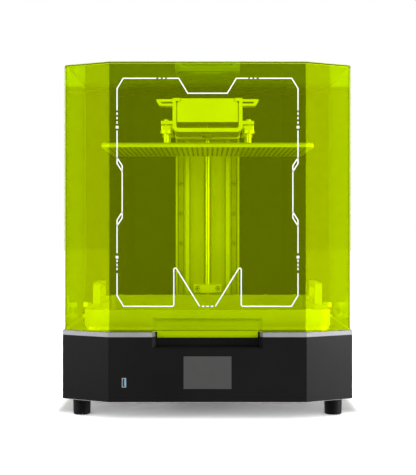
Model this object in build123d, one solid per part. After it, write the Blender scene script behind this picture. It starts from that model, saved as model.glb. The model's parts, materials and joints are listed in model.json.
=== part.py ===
from build123d import *
import os
from math import cos, pi, radians, sin

os.makedirs("parts", exist_ok=True)

# A large bench resin printer: eight-sided base, tinted lift-up hood, fixed dark rear shell.
# Millimetres. +X to the right seen from the front, +Y to the back, +Z up.
# The origin is on the table, under the middle of the printer's plan.

# Plan outline
half_width = 237.5
half_depth = 200.0
front_half = 158.7  # half of the flat front face
front_corner_y = -161.0  # where the front chamfer meets the side
rear_half = 149.5  # half of the flat rear face
rear_corner_y = 118.0  # where the side meets the rear chamfer

# Heights
foot_height = 31.7
foot_spots = ((-210, -126), (210, -126), (-180, 130), (180, 130))
strip_bottom = 135.7
deck_top = 143.1
hood_bottom = 143.5
overall_height = 578.5

# Sheet and wall thicknesses
wall = 2.5
deck_thickness = 4.0
pane = 3.0  # hood and rear shell
hood_inset = 3.0  # the hood stands this far inside the base's outline
fit_gap = 0.3  # between pieces that move past each other

# Finger pocket and hood handle
pocket_half = 88.8
pocket_inner_half = 84.0
pocket_depth = 22.0
pocket_floor = 119.3
handle_half = 88.0
handle_inner_half = 81.0
handle_top = 165.5
handle_tip = 133.5
handle_recess = 7.5

# Hood hinge
hinge_y = 100.0
barrel_radius = 6.5
hinge_z = overall_height - barrel_radius
pin_radius = 2.0
running_gap = 0.05
bracket_x = 163.0
bracket_width = 26.0
rear_split_y = hinge_y + 9.3  # front edge of the fixed rear shell

# Touchscreen and USB socket
screen_half = 38.5
screen_low = 52.5
screen_high = 105.0
usb_x = -133.6
usb_z = 62.7
usb_width = 6.4
usb_height = 14.6

# Display window for the print area
lcd_half_x = 172.5
lcd_half_y = 100.0
lcd_y = -35.0
lcd_thickness = 1.5
ledge = 4.5
shroud_bottom = 66.0

# Z axis
travel = 300.0
column_half = 61.0
column_front = 118.0
column_back = 176.0
column_top = 546.0
screw_y = 125.0
screw_radius = 5.0
rail_x = 38.8
rail_width = 8.0

# Carriage and platform
carriage_low = 480.0
carriage_high = 542.0
carriage_front = 101.5
carriage_back = 113.0
arm_half = 52.4
arm_low = 492.4
arm_top = 533.0
arm_front = -83.0
hanger_half = 60.0
hanger_wall = 6.5
hanger_low = 475.4
hanger_top = 533.5
hanger_front = -85.0
hanger_back = 15.0
lip_low = 528.0
relief_radius = 1.8  # round relief in the corner under each lip
relief_x = 52.6
relief_z = 526.6
plate_half = 176.3
plate_front = -145.0
plate_back = 70.0
plate_low = 444.1
plate_top = 451.9
post_x = 71.0
post_rows = (-72.0, 2.0)
ear_low = 488.4
ear_top = 494.6

# Resin vat
vat_half = 202.7
vat_front = -165.0
vat_back = 100.0
cavity_half = 181.0
cavity_front = -155.0
cavity_back = 85.0
vat_low = 149.0
vat_rim = 176.6
vat_rear_rim = 184.0
film_low = 143.15
film_thickness = 0.15
thumb_x = 218.0
thumb_y = 20.0

# Rear fans and sockets
fan_size = 60.0
fan_z = 85.0
fan_x = (40.0, 112.0)
fan_names = ("inner", "outer")
fan_bore = 28.0
inlet_x = -105.0
switch_x = -60.0
socket_z = 80.0
pivot_radius = 1.2
pivot_depth = -5.0  # rocker pivot, from the rear face


def block(x0, x1, y0, y1, z0, z1):
    """A box between two opposite corners."""
    centre = Pos((x0 + x1) / 2, (y0 + y1) / 2, (z0 + z1) / 2)
    return centre * Box(abs(x1 - x0), abs(y1 - y0), abs(z1 - z0))


def rod_x(radius, y, z, x0, x1):
    return Pos((x0 + x1) / 2, y, z) * Rot(0, 90, 0) * Cylinder(radius, x1 - x0)


def rod_y(radius, x, z, y0, y1):
    return Pos(x, (y0 + y1) / 2, z) * Rot(90, 0, 0) * Cylinder(radius, y1 - y0)


def rod_z(radius, x, y, z0, z1):
    return Pos(x, y, (z0 + z1) / 2) * Cylinder(radius, z1 - z0)


def prism_z(points, z0, z1):
    """A plan outline raised from z0 to z1."""
    face = make_face(Polyline(*points, close=True))
    return Pos(0, 0, z0) * extrude(face, z1 - z0)


def prism_x(points, x0, x1):
    """A side outline, given as (y, z) points, carried from x0 to x1."""
    face = make_face(Polyline(*[(0, y, z) for y, z in points], close=True))
    return Pos(x0, 0, 0) * extrude(face, x1 - x0, dir=(1, 0, 0))


def rounded_block(x0, x1, y0, y1, z0, z1, radius):
    """A block with its four upright edges rounded."""
    body = block(x0, x1, y0, y1, z0, z1)
    return fillet(body.edges().filter_by(Axis.Z), radius)


def both_sides(shape):
    """A shape and its mirror image across the middle plane."""
    return [shape, mirror(shape, Plane.YZ)]


def outline(inset):
    """The eight-sided plan, moved inwards by inset."""
    points = [
        (-front_half, -half_depth),
        (front_half, -half_depth),
        (half_width, front_corner_y),
        (half_width, rear_corner_y),
        (rear_half, half_depth),
        (-rear_half, half_depth),
        (-half_width, rear_corner_y),
        (-half_width, front_corner_y),
    ]
    face = make_face(Polyline(*points, close=True))
    return offset(face, -inset, kind=Kind.INTERSECTION) if inset else face


def plan_solid(inset, z0, z1):
    return Pos(0, 0, z0) * extrude(outline(inset), z1 - z0)


def pocket_plan(spread, z0, z1):
    """The finger pocket's plan, with walls that lean in, spread outwards by spread."""
    front_y = -half_depth - 5
    lean = (pocket_half - pocket_inner_half) / 10
    mouth = pocket_half + spread + 5 * lean
    inner = pocket_inner_half + spread
    knee_y = -half_depth + 10
    back_y = -half_depth + pocket_depth + spread
    points = [
        (-mouth, front_y),
        (mouth, front_y),
        (inner, knee_y),
        (inner, back_y),
        (-inner, back_y),
        (-inner, knee_y),
    ]
    return prism_z(points, z0, z1)


def save(name, *shapes):
    """Writes one node: one solid, or a group of separate solids."""
    solids = [solid for shape in shapes for solid in shape.solids()]
    node = solids[0] if len(solids) == 1 else Compound(children=solids)
    export_step(node, f"parts/{name}.step")


# Base


def fan_slots(x):
    """Slots through the rear wall, cut to the circle of a fan."""
    slots = []
    pitch = 7.0
    for row in range(-3, 4):
        z = fan_z + row * pitch
        reach = (fan_bore**2 - (abs(row) * pitch + 2) ** 2) ** 0.5
        slots.append(block(x - reach, x + reach, half_depth - 5, half_depth + 5, z - 1.9, z + 1.9))
    return slots


def base_housing():
    shell = plan_solid(0, foot_height, strip_bottom) - plan_solid(wall, foot_height - 1, strip_bottom + 1)
    shell -= pocket_plan(0, pocket_floor - 2, strip_bottom + 1)
    shell -= block(-screen_half, screen_half, -half_depth - 1, -half_depth + 5, screen_low, screen_high)
    usb_hole = block(-usb_width / 2, usb_width / 2, -1, 5, -usb_height / 2, usb_height / 2)
    shell -= Pos(usb_x, -half_depth, usb_z) * usb_hole
    for x, half_x, half_z in ((inlet_x, 25, 14), (switch_x, 11, 15)):
        hole = block(-half_x, half_x, -5, 1, -half_z, half_z)
        shell -= Pos(x, half_depth, socket_z) * hole
    for x in fan_x:
        for slot in fan_slots(x):
            shell -= slot
    return shell


def finger_cup():
    """The moulded cup behind the notch in the front wall."""
    cup = pocket_plan(2, pocket_floor - 2, strip_bottom) - pocket_plan(0, pocket_floor, strip_bottom + 1)
    return cup & block(-120, 120, -half_depth + wall, -150, pocket_floor - 2, strip_bottom)


def bottom_plate():
    plate = plan_solid(wall + 0.2, foot_height, foot_height + 2.5)
    for side in (-1, 1):
        for row in range(9):
            y = -110 + row * 14
            plate -= block(side * 60, side * 150, y, y + 5, foot_height - 1, foot_height + 4)
    return plate


def top_deck():
    deck = plan_solid(wall + 0.2, deck_top - deck_thickness, deck_top)
    deck -= pocket_plan(2.2, deck_top - 10, deck_top + 1)
    low_y = lcd_y - lcd_half_y
    high_y = lcd_y + lcd_half_y
    deck -= block(-lcd_half_x, lcd_half_x, low_y, high_y, deck_top - lcd_thickness, deck_top + 1)
    deck -= block(
        -lcd_half_x + ledge, lcd_half_x - ledge, low_y + ledge, high_y - ledge, deck_top - 10, deck_top
    )
    deck -= rod_z(8, 0, screw_y, deck_top - 10, deck_top + 1)
    for side in (-1, 1):
        deck -= rod_z(2.35, side * thumb_x, thumb_y, deck_top - 10, deck_top + 1)
    return deck


def trim_strip():
    """The bright band round the deck's edge; its ends turn into the finger pocket."""
    band = plan_solid(0, strip_bottom, deck_top) - plan_solid(wall, strip_bottom - 1, deck_top + 1)
    returns = pocket_plan(2, strip_bottom, deck_top) & plan_solid(0, strip_bottom, deck_top)
    returns &= block(-120, 120, -half_depth - 1, -half_depth + 10, strip_bottom, deck_top)
    return band + returns - pocket_plan(0, strip_bottom - 1, deck_top + 1)


def rubber_feet():
    feet = []
    for x, y in foot_spots:
        foot = Pos(x, y, foot_height / 2) * Cone(14.2, 15, foot_height)
        rim = foot.edges().sort_by(Axis.Z)[0]
        feet.append(chamfer(rim, 1.2))
    return feet


# Front panel


def display_glass():
    pane_block = block(-screen_half, screen_half, -half_depth, -half_depth + wall, screen_low, screen_high)
    front = pane_block.faces().sort_by(Axis.Y)[0]
    return chamfer(front.edges(), 0.3)


def display_module():
    back = -half_depth + wall
    module = block(-46, 46, back, back + 3, 46, 111)
    module += block(-42, 42, back + 3, back + 4.6, 48, 109)
    module += block(-12, 12, back + 4.6, back + 8, 56, 62)
    return module


def usb_shell():
    outer = block(-usb_width / 2, usb_width / 2, 0, 16, -usb_height / 2, usb_height / 2)
    half_x = usb_width / 2 - 0.5
    half_z = usb_height / 2 - 0.5
    inner = block(-half_x, half_x, -1, 15, -half_z, half_z)
    return Pos(usb_x, -half_depth, usb_z) * (outer - inner)


def usb_tongue():
    return Pos(usb_x, -half_depth, usb_z) * block(0.3, 2.3, 0.8, 15, -5.8, 5.8)


# Exposure unit


def lcd_panel():
    gap = 0.1
    return block(
        -lcd_half_x + gap,
        lcd_half_x - gap,
        lcd_y - lcd_half_y + gap,
        lcd_y + lcd_half_y - gap,
        deck_top - lcd_thickness,
        deck_top,
    )


def light_shroud():
    """Open-ended light box between the lamp board and the deck."""
    x = lcd_half_x + 3.5
    y = lcd_half_y + 4.0
    top = deck_top - deck_thickness
    outer = block(-x, x, lcd_y - y, lcd_y + y, shroud_bottom, top)
    inner = block(-x + 2, x - 2, lcd_y - y + 2, lcd_y + y - 2, shroud_bottom - 1, top + 1)
    return outer - inner


def lens_array():
    x = lcd_half_x + 1.4
    y = lcd_half_y + 1.9
    return block(-x, x, lcd_y - y, lcd_y + y, 90, 93)


def led_board():
    x = lcd_half_x + 1.4
    y = lcd_half_y + 1.9
    board = block(-x, x, lcd_y - y, lcd_y + y, shroud_bottom, shroud_bottom + 1.6)
    for column in range(-5, 6):
        for row in range(-3, 4):
            cx = column * 30
            cy = lcd_y + row * 28
            board += block(cx - 3, cx + 3, cy - 3, cy + 3, shroud_bottom + 1.6, shroud_bottom + 3)
    return board


def heat_sink():
    x = lcd_half_x + 3.5
    y = lcd_half_y + 4.0
    sink = block(-x, x, lcd_y - y, lcd_y + y, shroud_bottom - 6, shroud_bottom)
    for fin in range(17):
        fin_y = lcd_y - y + 6 + fin * 12
        sink += block(-x, x, fin_y, fin_y + 2, shroud_bottom - 22, shroud_bottom - 6)
    return sink


# Electrics


def mainboard():
    board = block(184, 185.6, -110, 90, 45, 130)
    board += block(185.6, 194, -60, -20, 70, 110)
    board += block(185.6, 198, 10, 60, 55, 75)
    board += block(185.6, 190, 20, 45, 90, 115)
    for y in (-100, 80):
        for z in (55, 120):
            board += rod_x(3, y, z, lcd_half_x + 3.5, 184)
    return board


def power_supply():
    case = block(-231, -181, -90, 70, foot_height + 2.5, 100)
    for row in range(10):
        y = -80 + row * 15
        case -= block(-222, -190, y, y + 6, 98.5, 101)
    return case


def power_inlet():
    """A flush mains inlet with three pins."""
    flange = block(-24.9, 24.9, -wall, 0, -13.9, 13.9)
    body = block(-13.5, 13.5, -22, -wall, -10, 10)
    socket = flange + body - block(-12, 12, -17, 1, -8, 8)
    for x, z in ((-7, -1.5), (0, 2), (7, -1.5)):
        socket += block(x - 1, x + 1, -18, -9, z - 2, z + 2)
    return Pos(inlet_x, half_depth, socket_z) * socket


def switch_bezel():
    bezel = block(-10.9, 10.9, -14, 0, -14.9, 14.9)
    bezel -= block(-8.2, 8.2, -12, 1, -12.2, 12.2)
    bezel -= rod_x(pivot_radius + running_gap, pivot_depth, 0, -9.8, 9.8)
    return Pos(switch_x, half_depth, socket_z) * bezel


def power_rocker():
    """The switch's rocker, which tips on a stub pivot at each side."""
    profile = [(-4.0, -11), (-3.2, -11), (-2.0, 0), (-1.0, 11), (-4.0, 11), (-8.5, 3), (-8.5, -3)]
    rocker = prism_x(profile, -7.8, 7.8)
    rocker += rod_x(pivot_radius, pivot_depth, 0, -9.6, 9.6)
    return Pos(switch_x, half_depth, socket_z) * rocker


def fan_frame(x):
    half = fan_size / 2
    back = half_depth - wall
    frame = rounded_block(-half, half, -half, half, 0, 15, 4)
    frame -= Pos(0, 0, 7.5) * Cylinder(fan_bore, 20)
    frame += rod_z(11, 0, 0, 0, 1.8)
    for spoke in range(3):
        arm = block(10, fan_bore + 0.5, -2, 2, 0, 1.8)
        frame += Rot(0, 0, 30 + 120 * spoke) * arm
    for cx in (-25, 25):
        for cy in (-25, 25):
            frame -= rod_z(2.1, cx, cy, -1, 16)
    return Pos(x, back, fan_z) * Rot(90, 0, 0) * frame


def fan_rotor(x):
    back = half_depth - wall
    rotor = rod_z(11, 0, 0, 2.3, 12.5)
    for index in range(7):
        blade = Pos(18.3, 0, 7.5) * Rot(38, 0, 0) * Box(16, 13, 1.2)
        rotor += Rot(0, 0, index * 360 / 7) * blade
    rotor &= rod_z(fan_bore - 1.5, 0, 0, 2.3, 13)
    return Pos(x, back, fan_z) * Rot(90, 0, 0) * rotor


# Hood and rear shell


def cover_shell():
    """The whole upper cover, before it is parted into hood and rear shell."""
    outer = plan_solid(hood_inset, hood_bottom, overall_height)
    outer = fillet(outer.faces().sort_by(Axis.Z)[-1].edges(), 5.0)
    inner = plan_solid(hood_inset + pane, hood_bottom - 1, overall_height - pane)
    inner = fillet(inner.faces().sort_by(Axis.Z)[-1].edges(), 2.0)
    return outer - inner


def hood_shell(cover):
    far = half_width + 5
    hood = cover - block(-far, far, hinge_y + 8.5, half_depth + 5, 0, overall_height + 5)
    hood -= block(-far, far, hinge_y - 5.6, half_depth, hinge_z - 7, overall_height + 5)
    hood -= rod_x(barrel_radius + fit_gap, hinge_y, hinge_z, -far, far)
    hood -= block(-handle_half, handle_half, -half_depth, -half_depth + 12, hood_bottom - 1, handle_top)
    return hood


def hood_handle():
    """Recessed grip: sloped sides, sloped top, and a tongue that hangs into the finger pocket."""
    face_y = -half_depth + hood_inset
    inner_y = face_y + handle_recess
    low = hood_bottom

    def frame(half, y, top):
        corners = [(-half, y, low), (half, y, low), (half, y, top), (-half, y, top)]
        return make_face(Polyline(*corners, close=True))

    def scoop(mouth, inside, mouth_top, inside_top, y0, y1):
        return loft([frame(mouth, y0, mouth_top), frame(inside, y1, inside_top)])

    hidden = scoop(handle_half, handle_inner_half + 2.5, handle_top, handle_top - 5, face_y, inner_y + pane)
    hollow = scoop(handle_half, handle_inner_half, handle_top, handle_top - 7.5, face_y, inner_y)
    grip = hidden - hollow
    tongue = [
        (inner_y, low),
        (inner_y - 1.5, handle_tip + 4),
        (inner_y - 0.5, handle_tip + 1),
        (inner_y + 1.5, handle_tip),
        (inner_y + pane, handle_tip + 1.5),
        (inner_y + pane, low),
    ]
    return grip + prism_x(tongue, -handle_inner_half, handle_inner_half)


def rear_shell(cover):
    far = half_width + 5
    shell = cover & block(-far, far, rear_split_y, half_depth + 5, 0, overall_height + 5)
    foot = plan_solid(hood_inset, deck_top, hood_bottom)
    foot -= plan_solid(hood_inset + pane, deck_top - 1, hood_bottom + 1)
    foot &= block(-far, far, rear_split_y, half_depth + 5, 0, overall_height)
    return shell + foot


def hood_hinge_bar():
    """Full-width hinge barrel with a leaf under the hood's roof."""
    half = half_width - hood_inset - 0.5
    roof = hinge_z + 3.5
    leaf_half = half - 2 * pane
    bar = rod_x(barrel_radius, hinge_y, hinge_z, -half, half)
    bar += block(-leaf_half, leaf_half, hinge_y - 25, hinge_y, roof - 3, roof)
    half_gap = bracket_width / 2 + fit_gap
    for side in (-1, 1):
        x = side * bracket_x
        bar -= block(x - half_gap, x + half_gap, hinge_y - 30, hinge_y + 10, hinge_z - 10, hinge_z + 10)
    bar -= rod_x(pin_radius + running_gap, hinge_y, hinge_z, -half - 1, half + 1)
    return bar


def hinge_brackets():
    half = bracket_width / 2
    arm_end = hinge_y + 40
    knuckle = rod_x(barrel_radius - 0.2, hinge_y, hinge_z, bracket_x - half, bracket_x + half)
    knuckle += block(bracket_x - half, bracket_x + half, hinge_y, arm_end, hinge_z - 3, hinge_z + 3.5)
    knuckle += block(bracket_x - 6, bracket_x + 6, hinge_y + 12, arm_end, hinge_z - 9, hinge_z - 3)
    knuckle -= rod_x(pin_radius + 0.02, hinge_y, hinge_z, bracket_x - half - 1, bracket_x + half + 1)
    return both_sides(knuckle)


def hinge_pins():
    reach = bracket_width / 2 + 20
    return both_sides(rod_x(pin_radius, hinge_y, hinge_z, bracket_x - reach, bracket_x + reach))


# Z axis


def z_column():
    """Extruded column: a deep back, two front flanges and a raised middle land."""
    column = block(-column_half, column_half, 140, column_back, deck_top, column_top)
    column -= block(-50, 50, 150, column_back + 1, deck_top + 8, column_top - 8)
    for side in (-1, 1):
        column += block(side * 57.2, side * column_half, column_front, 141, deck_top, column_top)
        column += block(side * 43.5, side * 46.0, 133, 141, deck_top, column_top)
    column += block(-33.5, 33.5, 135, 141, deck_top, column_top)
    for z in screw_heights():
        for side in (-1, 1):
            column -= rod_y(2.05, side * 51.5, z, 138, 148)
    return column


def screw_heights():
    return [222.5 + 58 * row for row in range(6)]


def linear_rail():
    """A profiled guide rail with a groove down each side."""
    half = rail_width / 2
    rail = block(rail_x - half, rail_x + half, 127, 140, 168, 541)
    for side in (-1, 1):
        rail -= Pos(rail_x + side * half, 132, 354) * Rot(0, 0, 45) * Box(1.8, 1.8, 400)
    return rail


def column_screws():
    """Cap screws down the column's two channels."""
    screws = []
    for z in screw_heights():
        head = rod_y(3.6, 51.5, z, 136, 140) - rod_y(1.7, 51.5, z, 135, 138)
        shank = rod_y(2.0, 51.5, z, 140, 147)
        screws += both_sides(head + shank)
    return screws


def lower_bearing_block():
    bearing = block(-26.5, 26.5, 128, 135, 186.6, 202)
    bearing += block(-12.8, 12.8, carriage_back + 0.8, 135, 186.6, 202)
    bearing -= rod_z(screw_radius + running_gap, 0, screw_y, 180, 210)
    for side in (-1, 1):
        bearing += rod_y(3.6, side * 19.8, 194.3, 125.5, 128) - rod_y(1.7, side * 19.8, 194.3, 124, 127)
    return bearing


def upper_bearing_block():
    bearing = block(-26.5, 26.5, 115, 135, 533.5, 545)
    return bearing - rod_z(screw_radius + running_gap, 0, screw_y, 530, 550)


def z_motor():
    """Square stepper motor with its shaft, hung under the deck on four posts."""
    motor = rounded_block(-28.5, 28.5, screw_y - 28.5, screw_y + 28.5, 48, 104, 4)
    motor += rod_z(19, 0, screw_y, 104, 105.6)
    motor += rod_z(3.2, 0, screw_y, 105, 121)
    for x in (-23.5, 23.5):
        for y in (screw_y - 23.5, screw_y + 23.5):
            motor += rod_z(4, x, y, 104, deck_top - deck_thickness)
    return motor


def shaft_coupler():
    coupler = rod_z(10, 0, screw_y, 109, 134)
    coupler -= rod_z(3.25, 0, screw_y, 108, 121.3)
    coupler -= rod_z(screw_radius, 0, screw_y, 123, 135)
    for z in (114, 129):
        coupler -= rod_y(1.5, 0, z, screw_y - 11, screw_y - 6)
    return coupler


def lead_screw():
    """A plain rod of the screw's outer diameter, with chamfered ends."""
    screw = rod_z(screw_radius, 0, screw_y, 123, 543)
    return chamfer(screw.edges().filter_by(GeomType.CIRCLE), 0.8)


def limit_sensor():
    """Slotted light gate in the column's left channel."""
    sensor = block(-57, -50.5, 124, 140, 524, 540)
    return sensor - block(-55, -52.5, 123, 132, 523, 541)


# Carriage


def carriage_plate():
    plate = block(-62, 62, carriage_front, carriage_back, carriage_low, carriage_high)
    return chamfer(plate.edges().filter_by(Axis.Y), 3)


def guide_blocks():
    """Four recirculating blocks, two on each rail."""
    blocks = []
    for low in (482, 514):
        body = block(28, 49.5, carriage_back, 130, low, low + 26)
        half = rail_width / 2 + fit_gap
        body -= block(rail_x - half, rail_x + half, 126.6, 131, low - 1, low + 27)
        blocks += both_sides(body)
    return blocks


def screw_nut():
    nut = block(-15, 15, carriage_back, 134, 504, 528)
    nut -= rod_z(screw_radius + fit_gap, 0, screw_y, 500, 532)
    return nut


def platform_arm():
    """Hollow cantilever arm with a shoulder along each top edge."""
    arm = block(-arm_half, arm_half, arm_front, carriage_front, arm_low, lip_low - fit_gap)
    narrow = arm_half - hanger_wall + fit_gap
    arm += block(-narrow, narrow, arm_front, carriage_front, lip_low - fit_gap, arm_top)
    inner = arm_half - 12
    arm -= block(-inner, inner, arm_front + 8, carriage_front + 1, arm_low + 8, arm_top - 8)
    for side in (-1, 1):
        arm -= rod_y(relief_radius, side * relief_x, relief_z, arm_front - 1, hanger_back)
    return arm


def carriage_screws():
    """Cap screws through the carriage plate, outside the arm."""
    screws = []
    for z in (489.5, 502, 520, 536):
        head = rod_y(3.0, 57, z, carriage_front - 3, carriage_front)
        screws += both_sides(head - rod_y(1.4, 57, z, carriage_front - 4, carriage_front - 1.5))
    return screws


# Platform


def platform_hanger():
    """U-shaped hanger that hooks over the arm's shoulders, with four ears."""
    outer = block(-hanger_half, hanger_half, hanger_front, hanger_back, hanger_low, hanger_top)
    low_edges = outer.edges().filter_by(Axis.Y).sort_by(Axis.Z)[:2]
    outer = fillet(low_edges, 10)
    inner_half = hanger_half - hanger_wall
    inner_floor = hanger_low + hanger_wall
    inner = block(-inner_half, inner_half, hanger_front - 1, hanger_back + 1, inner_floor, lip_low)
    inner = fillet(inner.edges().filter_by(Axis.Y).sort_by(Axis.Z)[:2], 3.5)
    slot_half = inner_half - hanger_wall
    slot = block(-slot_half, slot_half, hanger_front - 1, hanger_back + 1, lip_low - 4, hanger_top + 1)
    hanger = outer - inner - slot
    for side in (-1, 1):
        hanger -= rod_y(relief_radius, side * relief_x, relief_z, hanger_front - 1, hanger_back + 1)
        for y in post_rows:
            ear = block(side * (hanger_half - 1), side * 80, y - 10, y + 10, ear_low, ear_top)
            hanger += ear - rod_z(3.2, side * post_x, y, ear_low - 1, ear_top + 1)
    hanger -= rod_z(3.0, 0, lcd_y, hanger_low - 1, hanger_low + hanger_wall + 1)
    return hanger


def hanger_grips():
    """Two finger loops on the hanger's sides: a top plate folded back under itself."""
    outside = [(hanger_half, 531.3), (87, 531.3), (88, 529.5), (83.5, 521.5), (81, 520), (hanger_half, 520)]
    inside = [(hanger_half - 1, 527), (80.5, 527), (78, 523.8), (hanger_half - 1, 523.8)]
    loop = []
    for points, reach in ((outside, 25), (inside, 27)):
        face = make_face(Polyline(*[(x, 0, z) for x, z in points], close=True))
        loop.append(Pos(0, hanger_front + (25 - reach) / 2, 0) * extrude(face, reach, dir=(0, 1, 0)))
    return both_sides(loop[0] - loop[1])


def build_plate():
    plate = block(-plate_half, plate_half, plate_front, plate_back, plate_low, plate_top)
    plate = fillet(plate.edges().filter_by(Axis.Z), 6)
    plate = fillet(plate.faces().sort_by(Axis.Z)[-1].edges(), 4)
    groove_pitch = 8.65
    for index in range(-19, 20):
        x = index * groove_pitch
        plate -= block(x - 1.6, x + 1.6, plate_front + 6, plate_back - 6, plate_low - 1, plate_low + 1.0)
    return plate


def leveling_posts():
    posts = []
    for y in post_rows:
        post = rod_z(5, post_x, y, plate_top, 473.2) + rod_z(10.5, post_x, y, 473.2, 478.5)
        posts += both_sides(post)
    return posts


def leveling_nuts():
    nuts = []
    for y in post_rows:
        nut = rounded_block(post_x - 8.75, post_x + 8.75, y - 8.75, y + 8.75, 478.5, 486.7, 2)
        nut -= rod_z(3.0, post_x, y, 477, 490)
        nuts += both_sides(nut)
    return nuts


def leveling_bolts():
    bolts = []
    for y in post_rows:
        head = Pos(post_x, y, ear_top) * Cylinder(4.5, 4.1, align=(Align.CENTER, Align.CENTER, Align.MIN))
        head = fillet(head.edges().sort_by(Axis.Z)[-1], 2.5)
        head -= rod_z(1.6, post_x, y, ear_top + 2, ear_top + 6)
        bolts += both_sides(head + rod_z(3.0, post_x, y, 478.5, ear_top))
    return bolts


def clamp_screw():
    """Tapered hand screw under the hanger; its tip bears on the arm."""
    knob = Pos(0, lcd_y, hanger_low - 3.3) * Cone(8, 12, 6)
    for flute in range(10):
        angle = radians(36 * flute)
        knob -= rod_z(1.2, 12.2 * cos(angle), lcd_y + 12.2 * sin(angle), hanger_low - 7, hanger_low)
    return knob + rod_z(2.7, 0, lcd_y, hanger_low - 1, arm_low - fit_gap)


# Resin vat


def vat_cavity(z0, z1):
    return rounded_block(-cavity_half, cavity_half, cavity_front, cavity_back, z0, z1, 10)


def vat_frame():
    tub = rounded_block(-vat_half, vat_half, vat_front, vat_back, vat_low, vat_rear_rim, 20)
    tub -= block(-vat_half - 1, vat_half + 1, vat_front - 1, cavity_back - 20, vat_rim, vat_rear_rim + 1)
    tub -= vat_cavity(vat_low - 1, vat_rear_rim + 1)
    for side in (-1, 1):
        lug = block(side * (vat_half - 2), side * 226, thumb_y - 12, thumb_y + 12, vat_low, vat_low + 4)
        lug = fillet(lug.edges().filter_by(Axis.Z), 1.9)
        tub += lug - rod_z(2.35, side * thumb_x, thumb_y, vat_low - 1, vat_low + 5)
    return tub


def film_clamp():
    half = vat_half - 2
    ring = rounded_block(-half, half, vat_front + 2, vat_back - 2, film_low + 0.15, vat_low, 18)
    return ring - vat_cavity(film_low - 1, vat_low + 1)


def release_film():
    half = cavity_half + 8
    film_top = film_low + film_thickness
    return rounded_block(-half, half, cavity_front - 5, cavity_back + 5, film_low, film_top, 10)


def vat_handle():
    """A bridge handle screwed to the vat's side rim."""
    handle = block(189, 201.5, -40, 64, vat_rim, 213)
    handle -= block(188, 203, -28, 52, vat_rim + 9, 203)
    upper = handle.edges().filter_by(Axis.X).sort_by(Axis.Z)[-2:]
    return fillet(upper, 5)


def thumb_screw():
    knob = rod_z(7.65, thumb_x, thumb_y, 166.7, 175.8)
    knob = chamfer(knob.edges().filter_by(GeomType.CIRCLE), 0.8)
    for ridge in range(16):
        angle = 2 * pi * ridge / 16
        knob -= rod_z(0.7, thumb_x + 7.9 * cos(angle), thumb_y + 7.9 * sin(angle), 166, 177)
    collar = rod_z(4.0, thumb_x, thumb_y, vat_low + 4.3, vat_low + 7)
    return knob + collar + rod_z(2.0, thumb_x, thumb_y, 136, 167)


cover = cover_shell()
thumb = thumb_screw()
rail = linear_rail()
handle = vat_handle()

save("base_housing", base_housing())
save("finger_cup", finger_cup())
save("bottom_plate", bottom_plate())
save("top_deck", top_deck())
save("trim_strip", trim_strip())
save("rubber_feet", *rubber_feet())
save("display_glass", display_glass())
save("display_module", display_module())
save("usb_shell", usb_shell())
save("usb_tongue", usb_tongue())
save("lcd_panel", lcd_panel())
save("light_shroud", light_shroud())
save("lens_array", lens_array())
save("led_board", led_board())
save("heat_sink", heat_sink())
save("mainboard", mainboard())
save("power_supply", power_supply())
save("power_inlet", power_inlet())
save("switch_bezel", switch_bezel())
save("power_rocker", power_rocker())
for name, x in zip(fan_names, fan_x):
    save(f"fan_frame_{name}", fan_frame(x))
    save(f"fan_rotor_{name}", fan_rotor(x))

save("hood_shell", hood_shell(cover))
save("hood_handle", hood_handle())
save("hood_hinge_bar", hood_hinge_bar())
save("rear_shell", rear_shell(cover))
save("hinge_brackets", *hinge_brackets())
save("hinge_pins", *hinge_pins())

save("z_column", z_column())
save("linear_rail_right", rail)
save("linear_rail_left", mirror(rail, Plane.YZ))
save("column_screws", *column_screws())
save("lower_bearing_block", lower_bearing_block())
save("upper_bearing_block", upper_bearing_block())
save("z_motor", z_motor())
save("shaft_coupler", shaft_coupler())
save("lead_screw", lead_screw())
save("limit_sensor", limit_sensor())

save("carriage_plate", carriage_plate())
save("guide_blocks", *guide_blocks())
save("screw_nut", screw_nut())
save("platform_arm", platform_arm())
save("carriage_screws", *carriage_screws())

save("platform_hanger", platform_hanger())
save("hanger_grips", *hanger_grips())
save("build_plate", build_plate())
save("leveling_posts", *leveling_posts())
save("leveling_nuts", *leveling_nuts())
save("leveling_bolts", *leveling_bolts())
save("clamp_screw", clamp_screw())

save("vat_frame", vat_frame())
save("film_clamp", film_clamp())
save("release_film", release_film())
save("vat_handle_right", handle)
save("vat_handle_left", mirror(handle, Plane.YZ))
save("thumb_screw_right", thumb)
save("thumb_screw_left", mirror(thumb, Plane.YZ))
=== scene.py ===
import json
import math

import bmesh
import bpy
from mathutils import Matrix, Vector


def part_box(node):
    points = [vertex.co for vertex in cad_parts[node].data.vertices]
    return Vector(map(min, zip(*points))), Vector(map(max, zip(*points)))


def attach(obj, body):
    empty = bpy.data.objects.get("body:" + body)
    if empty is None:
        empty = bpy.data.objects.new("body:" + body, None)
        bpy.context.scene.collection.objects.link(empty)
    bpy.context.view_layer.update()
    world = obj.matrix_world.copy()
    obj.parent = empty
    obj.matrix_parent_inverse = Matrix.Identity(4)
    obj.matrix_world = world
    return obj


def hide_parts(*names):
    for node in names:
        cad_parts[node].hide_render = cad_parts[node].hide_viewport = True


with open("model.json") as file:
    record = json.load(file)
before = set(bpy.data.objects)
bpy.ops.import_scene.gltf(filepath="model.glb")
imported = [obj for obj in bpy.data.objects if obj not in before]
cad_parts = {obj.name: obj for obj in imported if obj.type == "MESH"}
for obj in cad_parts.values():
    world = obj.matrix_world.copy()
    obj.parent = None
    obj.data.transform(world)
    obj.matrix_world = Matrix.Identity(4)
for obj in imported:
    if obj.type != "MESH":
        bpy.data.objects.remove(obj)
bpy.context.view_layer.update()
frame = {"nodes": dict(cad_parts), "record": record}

scene = bpy.context.scene
nodes = frame["nodes"]
print("frame loaded:", len(nodes), "nodes")


# camera: level, straight on, long lens

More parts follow.
